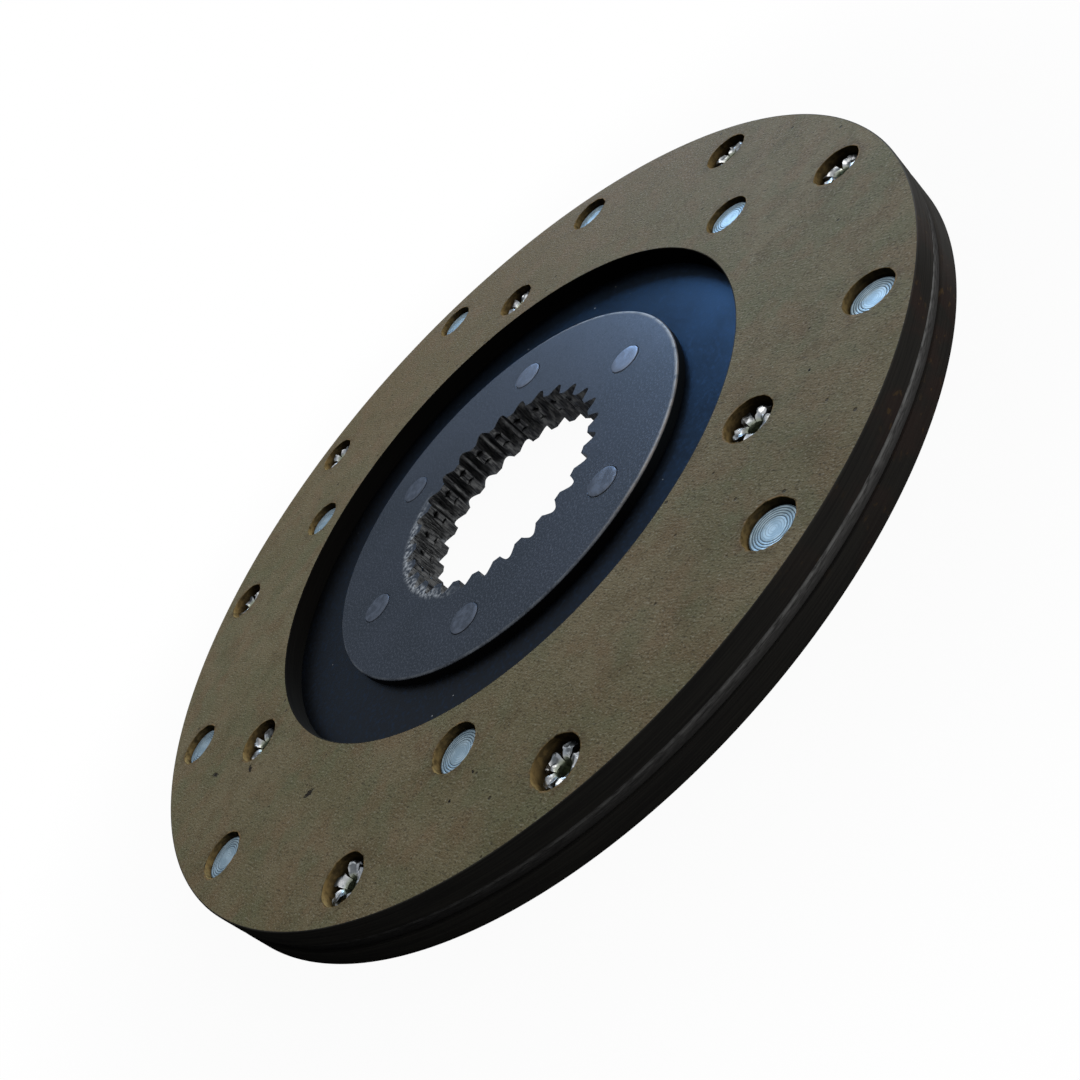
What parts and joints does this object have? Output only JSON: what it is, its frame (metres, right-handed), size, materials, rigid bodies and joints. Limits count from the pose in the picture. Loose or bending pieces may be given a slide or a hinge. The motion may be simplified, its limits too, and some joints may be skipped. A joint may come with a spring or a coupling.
{
  "type": "brake disc",
  "caption": "Flat round dry brake disc with a riveted friction ring on each side of a steel plate and a raised splined hub in the middle.",
  "frame": {"origin": "centre of the disc, half way between the two friction faces", "axes": "+Z along the disc's axis, out of the front friction face, which is the side whose hub plate is the thinner one; +X through a clinched rivet of the inner circle"},
  "size_m": [0.223, 0.223, 0.0132],
  "materials": {
    "core_steel": "satin blued steel sheet",
    "hub_steel": "satin blue-grey steel, as blanked",
    "friction_lining": "ground moulded friction composite, rough",
    "hub_rivet_steel": "steel, hammered flush",
    "plated_rivet_steel": "bright zinc plate over turned steel"
  },
  "bodies": {
    "root": {"core_plate": "core_steel", "front_hub_plate": "hub_steel", "back_hub_plate": "hub_steel", "front_lining": "friction_lining", "back_lining": "friction_lining", "hub_rivet_1": "hub_rivet_steel", "hub_rivet_2": "hub_rivet_steel", "hub_rivet_3": "hub_rivet_steel", "hub_rivet_4": "hub_rivet_steel", "hub_rivet_5": "hub_rivet_steel", "hub_rivet_6": "hub_rivet_steel", "lining_rivet_1": "plated_rivet_steel", "lining_rivet_2": "plated_rivet_steel", "lining_rivet_3": "plated_rivet_steel", "lining_rivet_4": "plated_rivet_steel", "lining_rivet_5": "plated_rivet_steel", "lining_rivet_6": "plated_rivet_steel", "lining_rivet_7": "plated_rivet_steel", "lining_rivet_8": "plated_rivet_steel", "lining_rivet_9": "plated_rivet_steel", "lining_rivet_10": "plated_rivet_steel", "lining_rivet_11": "plated_rivet_steel", "lining_rivet_12": "plated_rivet_steel", "lining_rivet_13": "plated_rivet_steel", "lining_rivet_14": "plated_rivet_steel", "lining_rivet_15": "plated_rivet_steel", "lining_rivet_16": "plated_rivet_steel", "lining_rivet_17": "plated_rivet_steel", "lining_rivet_18": "plated_rivet_steel"}
  },
  "joints": []
}
